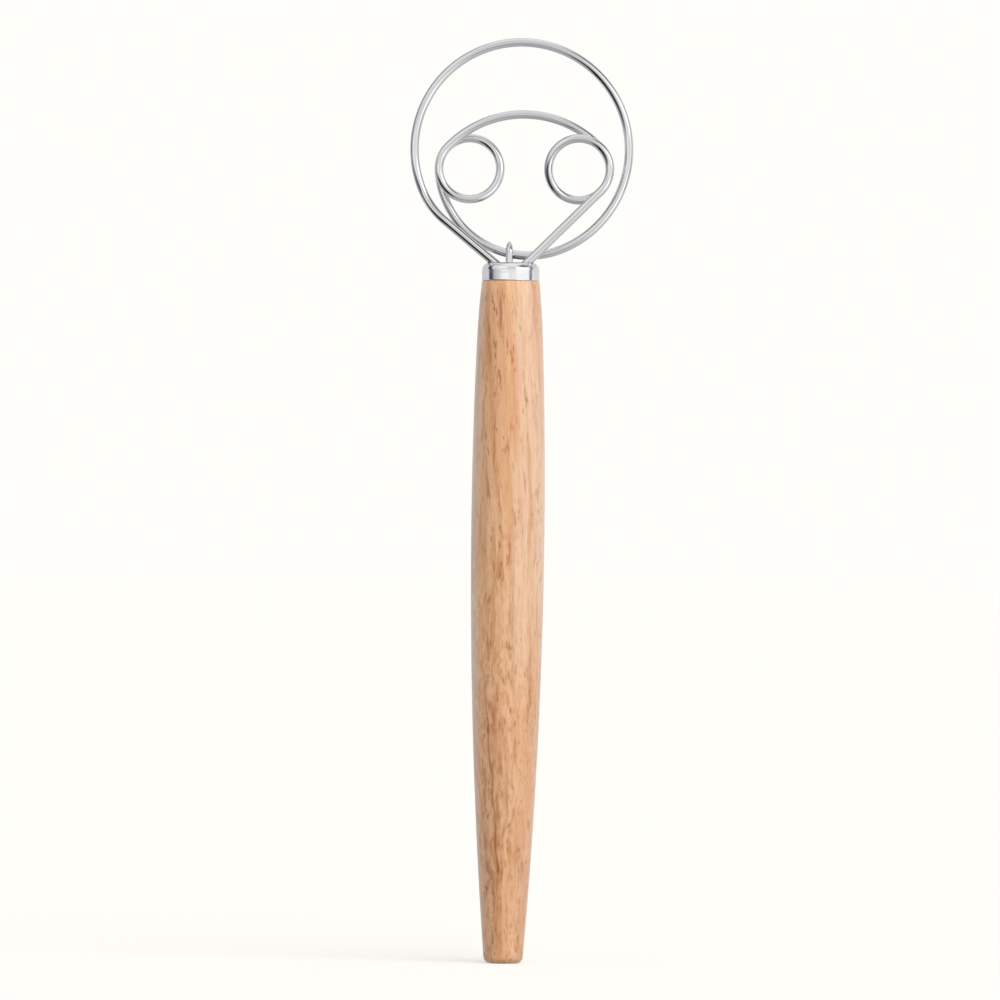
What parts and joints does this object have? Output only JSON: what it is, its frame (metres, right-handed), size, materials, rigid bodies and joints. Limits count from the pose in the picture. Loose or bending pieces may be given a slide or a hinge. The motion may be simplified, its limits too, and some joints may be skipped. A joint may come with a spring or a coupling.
{
  "type": "dough whisk",
  "caption": "Hand whisk for heavy dough: a flat head of one thick bent steel wire, an outer ring around curled loops, set in a capped turned wooden handle.",
  "frame": {"origin": "centre of the handle's flat butt end", "axes": "+Z along the handle towards the head, -Y out of the front of the head, +X to the right when the front is seen"},
  "size_m": [0.0821, 0.027, 0.3402],
  "materials": {
    "handle_wood": "satin varnish",
    "cap_steel": "polished stainless steel",
    "wire_steel": "polished stainless steel",
    "resin": "cast"
  },
  "bodies": {
    "root": {"handle": "handle_wood", "ferrule": "cap_steel", "resin_core": "resin", "head_wire": "wire_steel", "keeper_loop": "wire_steel"}
  },
  "joints": []
}
